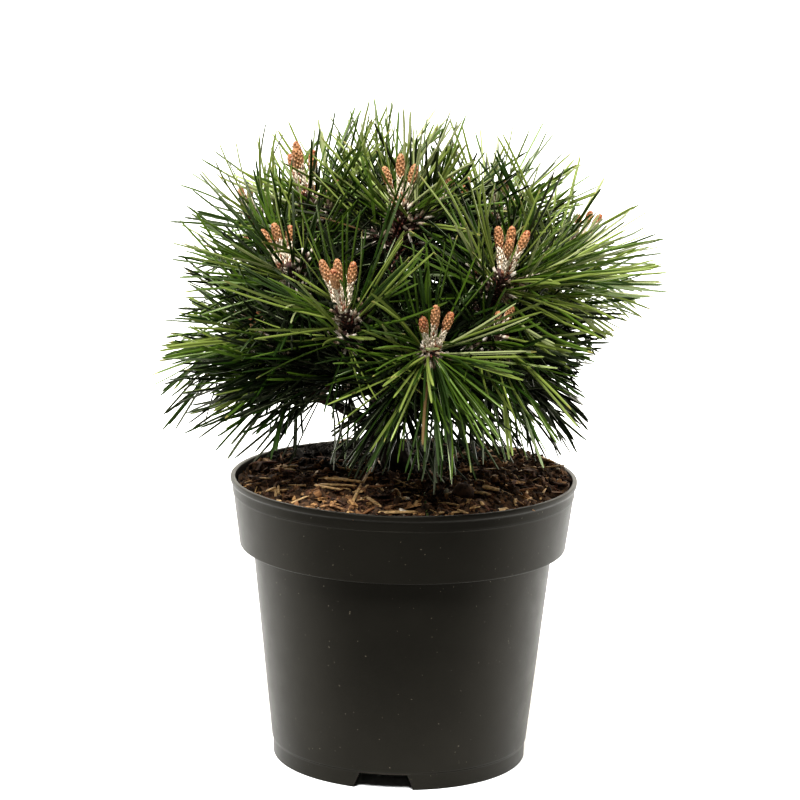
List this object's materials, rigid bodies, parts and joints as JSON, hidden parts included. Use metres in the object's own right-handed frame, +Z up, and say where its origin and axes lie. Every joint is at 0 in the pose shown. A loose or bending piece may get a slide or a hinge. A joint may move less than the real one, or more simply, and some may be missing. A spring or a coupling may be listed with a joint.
{
  "type": "dwarf mountain pine in a nursery pot",
  "caption": "Young mugo pine with a leaning trunk, boughs on all sides, long paired needles and upright spring candles, growing in a round plastic nursery pot filled with bark compost.",
  "frame": {"origin": "on the ground, under the middle of the pot", "axes": "+Z up along the pot's axis, -Y towards the plant's front"},
  "size_m": [0.2482, 0.245, 0.3287],
  "materials": {
    "pot_plastic": "matt moulded polypropylene, dark grey",
    "bark_compost": "moist peat with bark chips and straw",
    "bark": "scaly dark brown bark",
    "needles": "waxy green needles on brown shoots, with orange-brown candles"
  },
  "bodies": {
    "root": {"pot": "pot_plastic", "compost": "bark_compost", "trunk": "bark", "bough_upper_left": "bark", "bough_left": "bark", "bough_lower_left": "bark", "bough_front_left": "bark", "bough_front": "bark", "bough_front_right": "bark", "bough_right": "bark", "bough_upper_right": "bark", "bough_lower_right": "bark", "bough_back_right": "bark", "bough_back": "bark", "bough_back_left": "bark", "foliage_top": "needles", "foliage_upper_left": "needles", "foliage_left": "needles", "foliage_lower_left": "needles", "foliage_front_left": "needles", "foliage_front": "needles", "foliage_front_right": "needles", "foliage_right": "needles", "foliage_upper_right": "needles", "foliage_lower_right": "needles", "foliage_back_right": "needles", "foliage_back": "needles", "foliage_back_left": "needles"}
  },
  "joints": []
}
